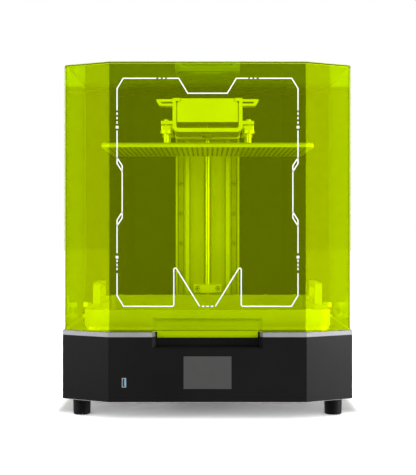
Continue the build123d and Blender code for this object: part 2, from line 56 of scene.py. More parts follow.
cameraSet = {
    "distance": 1.8,  # from the printer's middle, in metres
    "height": 0.3087,
    "lens": 75.8,
    "shiftX": 0.001,
    "shiftY": -0.0179,
}


def addCamera(values):
    data = bpy.data.cameras.new("camera")
    data.lens = values["lens"]
    data.sensor_width = 36.0
    data.shift_x = values["shiftX"]
    data.shift_y = values["shiftY"]
    data.clip_end = 60.0
    camera = bpy.data.objects.new("camera", data)
    camera.location = (0, -values["distance"], values["height"])
    camera.rotation_euler = (math.pi / 2, 0, 0)
    scene.collection.objects.link(camera)
    scene.camera = camera


addCamera(cameraSet)
scene.view_settings.view_transform = "Standard"


# node helpers


def startTree(material):
    material.use_nodes = True
    tree = material.node_tree
    tree.nodes.clear()
    return tree


def add(tree, kind, **values):
    # a node, with its inputs by socket name and its settings by attribute name
    node = tree.nodes.new(kind)
    for key, value in values.items():
        if key in node.inputs:
            if isinstance(value, bpy.types.NodeSocket):
                tree.links.new(value, node.inputs[key])
            else:
                node.inputs[key].default_value = value
        else:
            setattr(node, key, value)
    return node


def feed(tree, target, source):
    tree.links.new(source, target)


def calc(tree, operation, *values):
    node = tree.nodes.new("ShaderNodeMath")
    node.operation = operation
    for socket, value in zip(node.inputs, values):
        if isinstance(value, bpy.types.NodeSocket):
            tree.links.new(value, socket)
        else:
            socket.default_value = value
    return node.outputs[0]


def mixShaders(tree, share, first, second):
    # share 0 gives the first, 1 the second
    node = add(tree, "ShaderNodeMixShader", Fac=share)
    feed(tree, node.inputs[1], first)
    feed(tree, node.inputs[2], second)
    return node.outputs[0]


def ramp(tree, source, stops):
    node = tree.nodes.new("ShaderNodeValToRGB")
    feed(tree, node.inputs["Fac"], source)
    band = node.color_ramp
    while len(band.elements) < len(stops):
        band.elements.new(0.5)
    for element, (place, colour) in zip(band.elements, stops):
        element.position = place
        element.color = (*colour, 1.0)
    return node.outputs["Color"]


def rangeOf(tree, source, low, high):
    node = add(tree, "ShaderNodeMapRange")
    feed(tree, node.inputs["Value"], source)
    node.inputs["From Min"].default_value = 0.3
    node.inputs["From Max"].default_value = 0.7
    node.inputs["To Min"].default_value = low
    node.inputs["To Max"].default_value = high
    return node.outputs["Result"]


def objectPoint(tree, stretch=(1, 1, 1)):
    place = add(tree, "ShaderNodeTexCoord")
    mapping = add(tree, "ShaderNodeMapping")
    feed(tree, mapping.inputs["Vector"], place.outputs["Object"])
    mapping.inputs["Scale"].default_value = stretch
    return mapping.outputs["Vector"]


def noise(tree, point, scale, detail=3.0, roughness=0.5):
    node = add(tree, "ShaderNodeTexNoise", Scale=scale, Detail=detail, Roughness=roughness)
    feed(tree, node.inputs["Vector"], point)
    return node.outputs["Fac"]


def bump(tree, height, strength, distance):
    node = add(tree, "ShaderNodeBump", Strength=strength, Distance=distance)
    feed(tree, node.inputs["Height"], height)
    return node.outputs["Normal"]


# materials

finishes = {}


def keepFinish(name, material, tree, surface):
    output = add(tree, "ShaderNodeOutputMaterial")
    feed(tree, output.inputs["Surface"], surface)
    finishes[name] = material


def coatedMetal(name, dark, light, rough, grain, specular):
    # powder coat: a fine pebbled skin over sheet metal
    material = bpy.data.materials.new(name)
    tree = startTree(material)
    point = objectPoint(tree)
    broad = noise(tree, point, 9.0, 4.0)
    fine = noise(tree, point, grain, 2.0, 0.6)
    colour = ramp(tree, broad, [(0.3, dark), (0.7, light)])
    shader = add(tree, "ShaderNodeBsdfPrincipled")
    feed(tree, shader.inputs["Base Color"], colour)
    feed(tree, shader.inputs["Roughness"], rangeOf(tree, fine, rough - 0.06, rough + 0.06))
    feed(tree, shader.inputs["Normal"], bump(tree, fine, 0.22, 0.0002))
    shader.inputs["Specular IOR Level"].default_value = specular
    keepFinish(name, material, tree, shader.outputs[0])


def bareMetal(name, dark, light, rough, grain, stretch=(1, 1, 1), depth=0.0001, strength=0.15):
    # blasted, ground or brushed metal, by how far the grain is stretched
    material = bpy.data.materials.new(name)
    tree = startTree(material)
    broad = noise(tree, objectPoint(tree), 14.0, 3.0)
    fine = noise(tree, objectPoint(tree, stretch), grain, 3.0, 0.6)
    colour = ramp(tree, broad, [(0.3, dark), (0.7, light)])
    shader = add(tree, "ShaderNodeBsdfPrincipled")
    feed(tree, shader.inputs["Base Color"], colour)
    shader.inputs["Metallic"].default_value = 1.0
    feed(tree, shader.inputs["Roughness"], rangeOf(tree, fine, rough - 0.07, rough + 0.07))
    feed(tree, shader.inputs["Normal"], bump(tree, fine, strength, depth))
    keepFinish(name, material, tree, shader.outputs[0])


def mouldedPlastic(name, dark, light, rough, grain=700.0, specular=0.4):
    material = bpy.data.materials.new(name)
    tree = startTree(material)
    point = objectPoint(tree)
    broad = noise(tree, point, 20.0, 3.0)
    fine = noise(tree, point, grain, 2.0)
    shader = add(tree, "ShaderNodeBsdfPrincipled")
    feed(tree, shader.inputs["Base Color"], ramp(tree, broad, [(0.3, dark), (0.7, light)]))
    feed(tree, shader.inputs["Roughness"], rangeOf(tree, fine, rough - 0.05, rough + 0.05))
    feed(tree, shader.inputs["Normal"], bump(tree, fine, 0.1, 0.0001))
    shader.inputs["Specular IOR Level"].default_value = specular
    keepFinish(name, material, tree, shader.outputs[0])


hoodLook = {
    "tint": (0.865, 0.945, 0.0),  # what one face of a pane lets through
    "lightTint": (0.985, 1.0, 0.35),  # the same, for lamp light on its way in
    "gloss": (0.82, 1.0, 0.0),
    "faceOn": 0.046,  # share mirrored face on
    "edgeOn": 0.6,  # and at a grazing look
    "body": (0.62, 0.84, 0.0),
    "bodyShare": 0.03,
    "roughness": 0.01,
}
gripLook = {
    "tint": (0.865, 0.945, 0.0),
    "lightTint": (0.985, 1.0, 0.35),
    "gloss": (0.82, 1.0, 0.0),
    "faceOn": 0.05,
    "edgeOn": 0.6,
    "body": (0.33, 0.46, 0.0),
    "bodyShare": 0.12,
    "tongueTop": 0.1445,
    "tongueShare": 0.8,
    "roughness": 0.03,
}


def tintedPane(name, look):
    material = bpy.data.materials.new(name)
    tree = startTree(material)
    wear = noise(tree, objectPoint(tree), 7.0, 3.0)
    facing = add(tree, "ShaderNodeLayerWeight", Blend=0.5)
    edge = calc(tree, "POWER", facing.outputs["Facing"], 5.0)
    mirrored = calc(tree, "MULTIPLY", edge, look["edgeOn"] - look["faceOn"])
    mirrored = calc(tree, "ADD", mirrored, look["faceOn"])
    clear = add(tree, "ShaderNodeBsdfTransparent", Color=(*look["tint"], 1.0))
    gloss = add(tree, "ShaderNodeBsdfGlossy", Color=(*look["gloss"], 1.0))
    smear = look["roughness"]
    feed(tree, gloss.inputs["Roughness"], rangeOf(tree, wear, 0.5 * smear, 1.5 * smear))
    share, bodyKind = look["bodyShare"], "ShaderNodeBsdfTranslucent"
    if "tongueTop" in look:
        # the tongue below this height shows its own colour
        place = add(tree, "ShaderNodeTexCoord")
        parts = add(tree, "ShaderNodeSeparateXYZ")
        feed(tree, parts.inputs[0], place.outputs["Object"])
        below = calc(tree, "LESS_THAN", parts.outputs["Z"], look["tongueTop"])
        share = calc(tree, "MULTIPLY_ADD", below, look["tongueShare"] - share, share)
        bodyKind = "ShaderNodeBsdfDiffuse"
    body = add(tree, bodyKind, Color=(*look["body"], 1.0))
    lampWay = add(tree, "ShaderNodeBsdfTransparent", Color=(*look["lightTint"], 1.0))
    path = add(tree, "ShaderNodeLightPath")
    pane = mixShaders(tree, mirrored, clear.outputs[0], gloss.outputs[0])
    pane = mixShaders(tree, share, pane, body.outputs[0])
    pane = mixShaders(tree, path.outputs["Is Shadow Ray"], pane, lampWay.outputs[0])
    keepFinish(name, material, tree, pane)


coatedMetal("baseCoat", (0.0030, 0.0030, 0.0032), (0.0045, 0.0045, 0.0048), 0.45, 1400.0, 0.05)
coatedMetal("rearCoat", (0.010, 0.010, 0.010), (0.014, 0.014, 0.014), 0.55, 1400.0, 0.15)
coatedMetal("hingeCoat", (0.006, 0.006, 0.006), (0.009, 0.009, 0.009), 0.6, 900.0, 0.1)
bareMetal("blastedAluminium", (0.74, 0.75, 0.76), (0.82, 0.83, 0.84), 0.46, 1600.0)
bareMetal("columnAluminium", (0.46, 0.46, 0.47), (0.53, 0.53, 0.54), 0.5, 1200.0, (1, 1, 0.04))
bareMetal("vatAluminium", (0.76, 0.76, 0.77), (0.82, 0.82, 0.83), 0.72, 1500.0)
bareMetal("plateAluminium", (0.76, 0.76, 0.77), (0.84, 0.84, 0.85), 0.5, 1500.0)
bareMetal("darkSteel", (0.10, 0.10, 0.10), (0.15, 0.15, 0.15), 0.45, 900.0)
bareMetal("stripAluminium", (0.24, 0.24, 0.25), (0.28, 0.28, 0.29), 0.58, 260.0, (0.15, 0.15, 6.0))
bareMetal("groundSteel", (0.55, 0.55, 0.56), (0.64, 0.64, 0.65), 0.30, 900.0, (1, 1, 0.05))
bareMetal("turnedSteel", (0.60, 0.60, 0.61), (0.70, 0.70, 0.71), 0.25, 900.0, (0.2, 0.2, 4))
# painted shade: dark metal for the strips in the column's corners and behind the lead screw
bareMetal("seamShadeMetal", (0.12, 0.12, 0.12), (0.18, 0.18, 0.18), 0.6, 900.0)
# painted shade: dark metal for the bars in the build plate's grooves
bareMetal("plateGrooveShade", (0.22, 0.22, 0.22), (0.30, 0.30, 0.30), 0.6, 900.0)
bareMetal("brass", (0.60, 0.43, 0.17), (0.74, 0.55, 0.25), 0.3, 700.0)
mouldedPlastic("footRubber", (0.002, 0.002, 0.002), (0.004, 0.004, 0.004), 0.5, 900.0, 0.04)
mouldedPlastic("blackPlastic", (0.012, 0.012, 0.012), (0.022, 0.022, 0.022), 0.5)
mouldedPlastic("screenGlass", (0.060, 0.060, 0.060), (0.065, 0.065, 0.065), 0.5, 200.0, 0.1)
mouldedPlastic("panelGlass", (0.004, 0.004, 0.005), (0.008, 0.008, 0.010), 0.08, 60.0, 0.5)
mouldedPlastic("usbBlue", (0.10, 0.36, 0.62), (0.13, 0.42, 0.70), 0.45)
mouldedPlastic("boardGreen", (0.01, 0.09, 0.04), (0.02, 0.14, 0.06), 0.45, 300.0)
mouldedPlastic("printWhite", (0.90, 0.92, 0.84), (0.94, 0.96, 0.88), 0.6)
# painted highlight: a light colour for the beads along the hood's edges
mouldedPlastic("paintedEdgeHighlight", (0.50, 0.60, 0.10), (0.56, 0.66, 0.14), 0.35, 400.0)
# painted shade: near black for the hollows of screw sockets and of the data socket
mouldedPlastic("recessShade", (0.004, 0.004, 0.004), (0.008, 0.008, 0.008), 0.5)
# painted highlight: light grey for the band along the base's bottom edge
mouldedPlastic("rimHighlightGrey", (0.42, 0.42, 0.42), (0.47, 0.47, 0.47), 0.6)
mouldedPlastic("clearSheet", (0.60, 0.62, 0.64), (0.66, 0.68, 0.70), 0.2, 90.0)
tintedPane("tintedPane", hoodLook)
tintedPane("gripPane", gripLook)

slotFinish = {
    "base_black": "baseCoat",
    "strip_silver": "stripAluminium",
    "foot_rubber": "footRubber",
    "screen_glass": "screenGlass",
    "board_green": "boardGreen",
    "steel": "groundSteel",
    "usb_blue": "usbBlue",
    "lcd_dark": "panelGlass",
    "black_plastic": "blackPlastic",
    "lens_clear": "clearSheet",
    "motor_black": "blackPlastic",
    "hood_tint": "tintedPane",
    "hinge_black": "hingeCoat",
    "aluminium_satin": "blastedAluminium",
    "brass": "brass",
    "film_clear": "clearSheet",
}
nodeFinish = {
    "hood_handle": "gripPane",
    "rear_shell": "rearCoat",
    "lead_screw": "turnedSteel",
    "z_column": "columnAluminium",
    "column_screws": "columnAluminium",
    "vat_frame": "vatAluminium",
    "leveling_posts": "blastedAluminium",
    "leveling_nuts": "blastedAluminium",
    "leveling_bolts": "blastedAluminium",
    "vat_handle_right": "vatAluminium",
    "vat_handle_left": "vatAluminium",
    "build_plate": "plateAluminium",
    "hinge_brackets": "hingeCoat",
    "hinge_pins": "darkSteel",
    "hood_hinge_bar": "hingeCoat",
    "linear_rail_right": "groundSteel",
    "linear_rail_left": "groundSteel",
}


def paintNodes():
    slotOf = {part["node"]: part["material_slot"] for part in frame["record"]["subparts"]}
    for name, item in nodes.items():
        finish = nodeFinish.get(name) or slotFinish[slotOf[name]]
        item.data.materials.clear()
        item.data.materials.append(finishes[finish])


paintNodes()
print("materials:", len(finishes))


# mesh helpers, in millimetres


def toMetres(points):
    return [Vector(point) / 1000.0 for point in points]


def makeObject(name, mesh, materials=()):
    item = bpy.data.objects.new(name, mesh)
    scene.collection.objects.link(item)
    for material in materials:
        mesh.materials.append(finishes[material])
    return item


def meshFrom(name, verts, faces=(), edges=()):
    mesh = bpy.data.meshes.new(name)
    mesh.from_pydata(toMetres(verts), list(edges), list(faces))
    mesh.update()
    return mesh


def outward(mesh):
    work = bmesh.new()
    work.from_mesh(mesh)
    bmesh.ops.recalc_face_normals(work, faces=work.faces)
    work.to_mesh(mesh)
    work.free()
    return mesh


def geometryTree(name, inputs):
    tree = bpy.data.node_groups.new(name, "GeometryNodeTree")
    tree.interface.new_socket(name="Geometry", in_out="INPUT", socket_type="NodeSocketGeometry")
    for label, kind, value in inputs:
        socket = tree.interface.new_socket(name=label, in_out="INPUT", socket_type="NodeSocket" + kind)
        if value is not None:
            socket.default_value = value
    tree.interface.new_socket(name="Geometry", in_out="OUTPUT", socket_type="NodeSocketGeometry")
    return tree, tree.nodes.new("NodeGroupInput"), tree.nodes.new("NodeGroupOutput")


def grow(name, carrier, tree, settings):
    # evaluates a tree on a carrier mesh once and keeps the plain result
    source = bpy.data.objects.new(name + "Carrier", carrier)
    scene.collection.objects.link(source)
    modifier = source.modifiers.new("grow", "NODES")
    modifier.node_group = tree
    for socket in tree.interface.items_tree:
        if socket.item_type == "SOCKET" and socket.in_out == "INPUT" and socket.name in settings:
            modifier[socket.identifier] = settings[socket.name]
    graph = bpy.context.evaluated_depsgraph_get()
    graph.update()
    mesh = bpy.data.meshes.new_from_object(source.evaluated_get(graph))
    bpy.data.objects.remove(source)
    mesh.name = name
    item = bpy.data.objects.new(name, mesh)
    scene.collection.objects.link(item)
    print("grown:", name, len(mesh.polygons), "faces")
    return item


# geometry trees


def barRowTree():
    # equal bars in a row
    tree, given, made = geometryTree("barRow", [
        ("Count", "Int", 10),
        ("Start", "Vector", (0, 0, 0)),
        ("Step", "Vector", (0.01, 0, 0)),
        ("Size", "Vector", (0.003, 0.1, 0.001)),
        ("Finish", "Material", None),
    ])
    line = add(tree, "GeometryNodeMeshLine", mode="OFFSET")
    feed(tree, line.inputs["Count"], given.outputs["Count"])
    feed(tree, line.inputs["Start Location"], given.outputs["Start"])
    feed(tree, line.inputs["Offset"], given.outputs["Step"])
    bar = add(tree, "GeometryNodeMeshCube")
    feed(tree, bar.inputs["Size"], given.outputs["Size"])
    spread = add(tree, "GeometryNodeInstanceOnPoints")
    feed(tree, spread.inputs["Points"], line.outputs[0])
    feed(tree, spread.inputs["Instance"], bar.outputs[0])
    real = add(tree, "GeometryNodeRealizeInstances")
    feed(tree, real.inputs[0], spread.outputs[0])
    paint = add(tree, "GeometryNodeSetMaterial")
    feed(tree, paint.inputs["Geometry"], real.outputs[0])
    feed(tree, paint.inputs["Material"], given.outputs["Finish"])
    feed(tree, made.inputs[0], paint.outputs[0])
    return tree


def capScrewTree():
    # a round head with a dark hexagon on every carrier point, painted shade standing in for its socket
    tree, given, made = geometryTree("capScrews", [
        ("Radius", "Float", 0.0025),
        ("Height", "Float", 0.0015),
        ("Socket", "Float", 0.0012),
        ("Tilt", "Vector", (0, 0, 0)),
        ("Finish", "Material", None),
        ("Dark", "Material", None),
    ])
    head = add(tree, "GeometryNodeMeshCylinder", Vertices=28)
    feed(tree, head.inputs["Radius"], given.outputs["Radius"])
    feed(tree, head.inputs["Depth"], given.outputs["Height"])
    headPaint = add(tree, "GeometryNodeSetMaterial")
    feed(tree, headPaint.inputs["Geometry"], head.outputs["Mesh"])
    feed(tree, headPaint.inputs["Material"], given.outputs["Finish"])
    hollow = add(tree, "GeometryNodeMeshCylinder", Vertices=6)
    feed(tree, hollow.inputs["Radius"], given.outputs["Socket"])
    depth = calc(tree, "ADD", given.outputs["Height"], 0.00006)
    feed(tree, hollow.inputs["Depth"], depth)
    hollowPaint = add(tree, "GeometryNodeSetMaterial")
    feed(tree, hollowPaint.inputs["Geometry"], hollow.outputs["Mesh"])
    feed(tree, hollowPaint.inputs["Material"], given.outputs["Dark"])
    both = add(tree, "GeometryNodeJoinGeometry")
    feed(tree, both.inputs[0], headPaint.outputs[0])
    feed(tree, both.inputs[0], hollowPaint.outputs[0])
    spread = add(tree, "GeometryNodeInstanceOnPoints")
    feed(tree, spread.inputs["Points"], given.outputs["Geometry"])
    feed(tree, spread.inputs["Instance"], both.outputs[0])
    feed(tree, spread.inputs["Rotation"], given.outputs["Tilt"])
    real = add(tree, "GeometryNodeRealizeInstances")
    feed(tree, real.inputs[0], spread.outputs[0])
    feed(tree, made.inputs[0], real.outputs[0])
    return tree


def sweepTree():
    # a round bead swept along every carrier edge
    tree, given, made = geometryTree("bead", [
        ("Radius", "Float", 0.0005),
        ("Sides", "Int", 8),
        ("Finish", "Material", None),
    ])
    path = add(tree, "GeometryNodeMeshToCurve")
    feed(tree, path.inputs["Mesh"], given.outputs["Geometry"])
    ring = add(tree, "GeometryNodeCurvePrimitiveCircle")
    feed(tree, ring.inputs["Resolution"], given.outputs["Sides"])
    feed(tree, ring.inputs["Radius"], given.outputs["Radius"])
    swept = add(tree, "GeometryNodeCurveToMesh")
    swept.inputs["Fill Caps"].default_value = True
    feed(tree, swept.inputs["Curve"], path.outputs["Curve"])
    feed(tree, swept.inputs["Profile Curve"], ring.outputs["Curve"])
    paint = add(tree, "GeometryNodeSetMaterial")
    feed(tree, paint.inputs["Geometry"], swept.outputs[0])
    feed(tree, paint.inputs["Material"], given.outputs["Finish"])
    feed(tree, made.inputs[0], paint.outputs[0])
    return tree


def threadTree():
    # a screw core with a helical ridge
    tree, given, made = geometryTree("screwThread", [
        ("Turns", "Float", 160.0),
        ("Length", "Float", 0.4),
        ("Core", "Float", 0.0043),
        ("Ridge", "Float", 0.0005),
        ("Finish", "Material", None),
    ])
    helix = add(tree, "GeometryNodeCurveSpiral")
    helix.inputs["Resolution"].default_value = 20
    feed(tree, helix.inputs["Rotations"], given.outputs["Turns"])
    middle = calc(tree, "ADD", given.outputs["Core"], 0.0001)
    feed(tree, helix.inputs["Start Radius"], middle)
    feed(tree, helix.inputs["End Radius"], middle)
    feed(tree, helix.inputs["Height"], given.outputs["Length"])
    ring = add(tree, "GeometryNodeCurvePrimitiveCircle")
    ring.inputs["Resolution"].default_value = 5
    feed(tree, ring.inputs["Radius"], given.outputs["Ridge"])
    ridge = add(tree, "GeometryNodeCurveToMesh")
    ridge.inputs["Fill Caps"].default_value = True
    feed(tree, ridge.inputs["Curve"], helix.outputs["Curve"])
    feed(tree, ridge.inputs["Profile Curve"], ring.outputs["Curve"])
    core = add(tree, "GeometryNodeMeshCylinder", Vertices=40)
    feed(tree, core.inputs["Radius"], given.outputs["Core"])
    feed(tree, core.inputs["Depth"], given.outputs["Length"])
    raised = add(tree, "GeometryNodeTransform")
    feed(tree, raised.inputs["Geometry"], core.outputs["Mesh"])
    lift = add(tree, "ShaderNodeCombineXYZ")
    feed(tree, lift.inputs["Z"], calc(tree, "MULTIPLY", given.outputs["Length"], 0.5))
    feed(tree, raised.inputs["Translation"], lift.outputs[0])
    both = add(tree, "GeometryNodeJoinGeometry")
    feed(tree, both.inputs[0], ridge.outputs[0])
    feed(tree, both.inputs[0], raised.outputs[0])
    paint = add(tree, "GeometryNodeSetMaterial")
    feed(tree, paint.inputs["Geometry"], both.outputs[0])
    feed(tree, paint.inputs["Material"], given.outputs["Finish"])
    feed(tree, made.inputs[0], paint.outputs[0])
    return tree


barRow = barRowTree()
capScrews = capScrewTree()
bead = sweepTree()
screwThread = threadTree()
emptyCarrier = bpy.data.meshes.new("nothing")


# printed outline on the front pane

printed = {
    "width": 1.95,
    "faceY": -197.0,
    "proud": 0.12,
    "side": 145.0,
    "innerSide": 136.8,
    "top": 550.3,
    "bottom": 184.9,
    "dash": 4.2,
    "dot": 4.4,
    "upperDashes": ((477.3, 481.2), (484.5, 488.5), (491.6, 495.7)),
    "lowerDashes": ((255.4, 259.6), (248.9, 253.1), (242.6, 246.8)),
}


def arc(centre, radius, start, end, steps=6):
    points = []
    for step in range(steps + 1):
        angle = math.radians(start + (end - start) * step / steps)
        points.append((centre[0] + radius * math.cos(angle), centre[1] + radius * math.sin(angle)))
    return points


def outlinePaths(values):
    # one side's lines, as (x, z) points with x measured outwards from the middle
    side, inner = values["side"], values["innerSide"]
    top, bottom = values["top"], values["bottom"]
    half = values["dash"] / 2
    paths = [
        [(side, 498.8), (side, 534.0), (135.0, top), (82.2, top)],
        [(side, 466.6), (side, 413.8), (inner, 400.7)]
        + [(inner, 335.9), (side, 322.8), (side, 270.0)],
        [(side, 422.9), (inner, 410.3), (inner, 400.7)],
        [(inner, 335.9), (inner, 326.3), (side, 313.7)],
    ]
    for low, high in values["upperDashes"] + values["lowerDashes"]:
        paths.append([(side, low), (side, high)])
    for near, far in ((68.0, 71.8), (75.0, 78.7)):
        paths.append([(near, top), (far, top)])
    foot = [(side, 237.8), (side, 202.0), (134.6, bottom)]
    foot += arc((57.0, bottom + 3.0), 3.0, 270, 180)
    foot += [(54.0, 243.0)] + arc((51.6, 243.6), 2.4, 0, 150, 6)
    foot += [(12.7, bottom)]
    paths.append(foot)
    paths.append([(7.0 - half, bottom), (7.0 + half, bottom)])
    return paths


def ribbon(points, width):
    # left and right borders of a polyline, mitred at its corners
    half = width / 2
    left, right = [], []
    count = len(points)
    for index, (x, z) in enumerate(points):
        before = points[max(index - 1, 0)]
        after = points[min(index + 1, count - 1)]
        ways = []
        for start, end in ((before, (x, z)), ((x, z), after)):
            dx, dz = end[0] - start[0], end[1] - start[1]
            length = math.hypot(dx, dz)
            if length > 1e-6:
                ways.append((-dz / length, dx / length))
        nx = sum(way[0] for way in ways)
        nz = sum(way[1] for way in ways)
        length = math.hypot(nx, nz)
        nx, nz = nx / length, nz / length
        reach = half / max(0.35, nx * ways[0][0] + nz * ways[0][1])
        left.append((x + nx * reach, z + nz * reach))
        right.append((x - nx * reach, z - nz * reach))
    return left, right


def printOutline(values):
    notch = [(31.7, 526.3), (46.2, values["top"]), (65.0, values["top"])]
    notch = [(-x, z) for x, z in reversed(notch)] + notch
    half = values["dash"] / 2
    middleDash = [(-half, values["bottom"]), (half, values["bottom"])]
    strips = [(notch, values["width"]), (middleDash, values["width"])]
    for path in outlinePaths(values):
        strips.append((path, values["width"]))
        strips.append(([(-x, z) for x, z in path], values["width"]))
    for middle in (471.9, 263.6):
        for side in (-1, 1):
            x = side * values["side"]
            reach = values["dot"] / 2
            strips.append(([(x, middle - reach), (x, middle + reach)], values["dot"]))
    verts, faces = [], []
    front = values["faceY"] - values["proud"]
    for path, width in strips:
        left, right = ribbon(path, width)
        base = len(verts)
        count = len(path)
        for y in (front, values["faceY"] - 0.01):
            verts += [(x, y, z) for x, z in left] + [(x, y, z) for x, z in right]
        for step in range(count - 1):
            a, b = base + step, base + step + 1
            c, d = b + count, a + count
            back = 2 * count
            faces.append((a, b, c, d))
            faces.append((a + back, d + back, c + back, b + back))
            faces.append((a, a + back, b + back, b))
            faces.append((d, c, c + back, d + back))
        for a, b in ((base, base + count), (base + 2 * count - 1, base + count - 1)):
            faces.append((a, b, b + 2 * count, a + 2 * count))
    mesh = outward(meshFrom("printedOutline", verts, faces))
    item = makeObject("printedOutline", mesh, ["printWhite"])
    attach(item, "hood")


printOutline(printed)


# painted highlights on the hood's sheet: light beads along its edges stand in for the glints they catch

plan = {
    "side": 237.5,
    "depth": 200.0,
    "front": 158.7,  # half of the flat front
    "frontCorner": -161.0,
    "rear": 149.5,  # half of the flat back
    "rearCorner": 118.0,
}
edges = {
    "radius": 0.6,
    "outerInset": 4.0,
    "innerInset": 6.3,
    "hingeEnd": 92.0,
    "top": 577.2,
    "inner": 574.9,
    "low": 147.0,
    "stop": 571.2,
}


def eightSides(inset):
    # the base's plan moved inwards, as the crossings of its eight side lines
    def crossing(first, second):
        (a, b, c), (d, e, f) = first, second
        det = a * e - b * d
        return ((c * e - b * f) / det, (a * f - c * d) / det)

    right = [
        (plan["front"], -plan["depth"]),
        (plan["side"], plan["frontCorner"]),
        (plan["side"], plan["rearCorner"]),
        (plan["rear"], plan["depth"]),
    ]
    left = [(-x, y) for x, y in reversed(right)]
    corners = left[-1:] + right + left[:-1]
    lines = []
    for index, (x0, y0) in enumerate(corners):
        x1, y1 = corners[(index + 1) % 8]
        length = math.hypot(x1 - x0, y1 - y0)
        nx, ny = (y1 - y0) / length, -(x1 - x0) / length
        lines.append((nx, ny, nx * x0 + ny * y0 - inset))
    return [crossing(lines[index - 1], lines[index]) for index in range(8)]


def hoodCorners(inset, hingeEnd):
    # front half of the plan, from the left hinge end to the right one
    corners = eightSides(inset)
    side = plan["side"] - inset
    return [(-side, hingeEnd), corners[7], corners[0], corners[1], corners[2], (side, hingeEnd)]


def hoodEdges(values):
    outer = hoodCorners(values["outerInset"], values["hingeEnd"])
    inner = hoodCorners(values["innerInset"], values["hingeEnd"])
    verts, lines = [], []
    for corners, z in ((outer, values["top"]), (inner, values["inner"])):
        start = len(verts)
        verts += [(x, y, z) for x, y in corners]
        lines += [(start + step, start + step + 1) for step in range(len(corners) - 1)]
    for x, y in (outer[1], outer[4]):
        start = len(verts)
        verts += [(x, y, values["low"]), (x, y, values["stop"])]
        lines.append((start, start + 1))
    carrier = meshFrom("hoodHighlightPath", verts, (), lines)
    # light beads along the hood's edges, a painted highlight
    item = grow("hoodEdges", carrier, bead, {
        "Radius": values["radius"] / 1000,
        "Sides": 8,
        "Finish": finishes["paintedEdgeHighlight"],
    })
    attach(item, "hood")


hoodEdges(edges)


# build plate: dark bars under it, painted shade in its grooves

grooves = {
    "count": 39,
    "pitch": 8.65,
    "width": 3.1,
    "depth": 0.5,
    "length": 202.0,
    "middleY": -37.5,
    "z": 444.75,
}


def plateGrooves(values):
    first = -(values["count"] - 1) / 2 * values["pitch"]
    item = grow("plateGrooves", emptyCarrier, barRow, {
        "Count": values["count"],
        "Start": tuple(Vector((first, values["middleY"], values["z"])) / 1000),
        "Step": (values["pitch"] / 1000, 0.0, 0.0),
        "Size": (values["width"] / 1000, values["length"] / 1000, values["depth"] / 1000),
        "Finish": finishes["plateGrooveShade"],
    })
    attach(item, "platform")


plateGrooves(grooves)


# column: painted shade strips in the corners beside its lands and behind the lead screw, and the
# bearing block's screws

shadeStrips = {
    "channel": {"x": (33.9, 43.1, 46.4, 56.7), "y": 139.6, "width": 0.9, "low": 150.0, "high": 540.0},
    "screw": {"x": (6.4,), "y": 134.8, "width": 1.3, "low": 203.0, "high": 533.0},
}
shadeStripDepth = 0.6


# dark bars in pairs: painted shade in the column's corners and beside the lead screw
def columnSeams(values):
    for key, row in values.items():
        for x in row["x"]:
            item = grow(key + "Seam" + str(round(x)), emptyCarrier, barRow, {
                "Count": 2,
                "Start": (-x / 1000, row["y"] / 1000, (row["low"] + row["high"]) / 2000),
                "Step": (2 * x / 1000, 0.0, 0.0),
                "Size": (row["width"] / 1000, shadeStripDepth / 1000, (row["high"] - row["low"]) / 1000),
                "Finish": finishes["seamShadeMetal"],
            })
            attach(item, "chassis")


columnRows = tuple(222.5 + 58.0 * row for row in range(6))
bearingRow = (194.3,)
screwSets = {
    # name: half spacing, heights, depth place, radius, thickness, finish
    # the ring sets are dark discs behind the heads, painted shade round each head; the socket set is
    # painted shade in each socket
    "bearingWashers": (19.8, bearingRow, 127.6, 4.6, 0.8, "darkSteel"),
    "bearingScrews": (19.8, bearingRow, 126.6, 3.6, 2.3, "turnedSteel"),
    "channelWashers": (51.5, columnRows, 139.5, 4.4, 0.8, "darkSteel"),
    "channelSockets": (51.5, columnRows, 137.9, 1.6, 0.3, "recessShade"),
}
socketShare = 0.53  # hexagon's radius as a share of the head's


def screwSet(name, x, rows, y, radius, height, finish):
    points = [(side * x, y, z) for side in (-1, 1) for z in rows]
    item = grow(name, meshFrom(name + "Points", points), capScrews, {
        "Radius": radius / 1000,
        "Height": height / 1000,
        "Socket": radius * socketShare / 1000,
        "Tilt": (math.pi / 2, 0.0, 0.0),
        "Finish": finishes[finish],
        "Dark": finishes["recessShade"],
    })
    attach(item, "chassis")


columnSeams(shadeStrips)
for name, values in screwSets.items():
    screwSet(name, *values)


# lead screw with its thread

thread = {"turns": 165.0, "core": 0.0043, "ridge": 0.0005, "endGap": 0.001}


def threadedScrew(values):
    low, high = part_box("lead_screw")
    item = grow("threadedScrew", emptyCarrier, screwThread, {
        "Turns": values["turns"],
        "Length": high.z - low.z - 2 * values["endGap"],
        "Core": values["core"],
        "Ridge": values["ridge"],
        "Finish": finishes["turnedSteel"],
    })
    middle = (low + high) / 2
    item.data.transform(Matrix.Translation((middle.x, middle.y, low.z + values["endGap"])))
    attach(item, "screw")
    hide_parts("lead_screw")


threadedScrew(thread)


# screws round the vat's rim

rimScrews = {
    "radius": 2.6,
    "height": 1.4,
    "socket": 1.3,
    "step": 55.0,
    "frontY": -160.0,
    "backY": 92.5,
    "sideX": 191.8,
    "sideY": (-125.0, -75.0),
    "rim": 177.2,
    "rearRim": 184.6,
}


